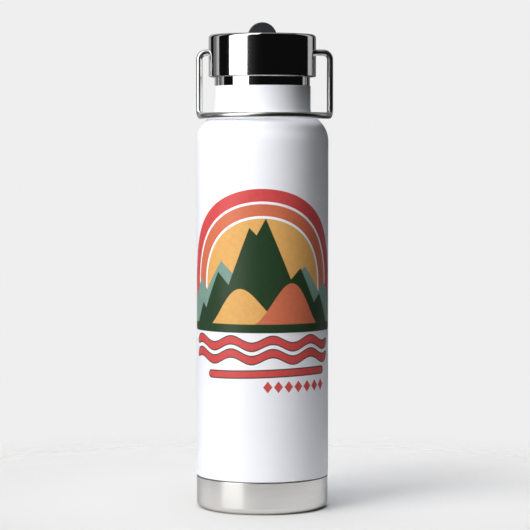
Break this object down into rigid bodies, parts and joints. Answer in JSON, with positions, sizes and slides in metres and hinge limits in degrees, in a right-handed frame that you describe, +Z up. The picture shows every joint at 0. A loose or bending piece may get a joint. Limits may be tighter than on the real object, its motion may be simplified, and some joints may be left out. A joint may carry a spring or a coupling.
{
  "type": "insulated water bottle",
  "caption": "Double-wall vacuum bottle, white body with brushed base, polished screw lid with a black lug, and a wire bail pinned in the lid's sides.",
  "frame": {"origin": "middle of the base, on the surface that the bottle stands on", "axes": "+Z up along the bottle's axis, +X to the right, -Y to the front, where the bail hangs"},
  "size_m": [0.0756, 0.0734, 0.2679],
  "materials": {
    "white_paint": "satin white powder coat",
    "brushed_base": "brushed round its circumference",
    "jacket_steel": "plain rolled",
    "liner_steel": "electropolished, mirror bright on the mouth band",
    "polished_steel": "mirror-polished stainless steel",
    "braze": "matte",
    "foil": "bright",
    "getter_powder": "matte pressed powder",
    "lid_plastic": "moulded, matte",
    "foam": "matte closed-cell foam",
    "black_plastic": "fine moulded texture",
    "screw_steel": "plain",
    "bush_plastic": "moulded, smooth",
    "silicone": "translucent matte"
  },
  "bodies": {
    "bottle": {"outer_shell": "white_paint", "base_cup": "brushed_base", "outer_bottom": "jacket_steel", "seal_bead": "braze", "inner_liner": "liner_steel", "inner_bottom": "liner_steel", "radiation_foil": "foil", "getter": "getter_powder", "getter_holder": "jacket_steel"},
    "gasket": {"lid_gasket": "silicone"},
    "lid": {"lid_shell": "polished_steel", "lid_core": "lid_plastic", "plug_cup": "lid_plastic", "lid_foam": "foam", "grip_lug": "black_plastic", "lug_screws": "screw_steel", "lug_plate": "screw_steel", "pivot_bush_left": "bush_plastic", "pivot_bush_right": "bush_plastic"},
    "bail": {"bail_wire": "polished_steel"}
  },
  "joints": [
    {"name": "lid_rise", "type": "slide", "parent": "bottle", "child": "gasket", "axis": [0, 0, 1], "range_m": [0, 0.02]},
    {"name": "lid_turn", "type": "hinge", "parent": "gasket", "child": "lid", "pos_m": [0, 0, 0.249], "axis": [0, 0, 1], "range_deg": [0, 900]},
    {"name": "bail_swing", "type": "hinge", "parent": "lid", "child": "bail", "pos_m": [0, 0, 0.2513], "axis": [-1, 0, 0], "range_deg": [0, 270]}
  ],
  "couplings": [
    {"joint": "lid_rise", "follows": "lid_turn", "m_per_rad": 0.0012732}
  ]
}
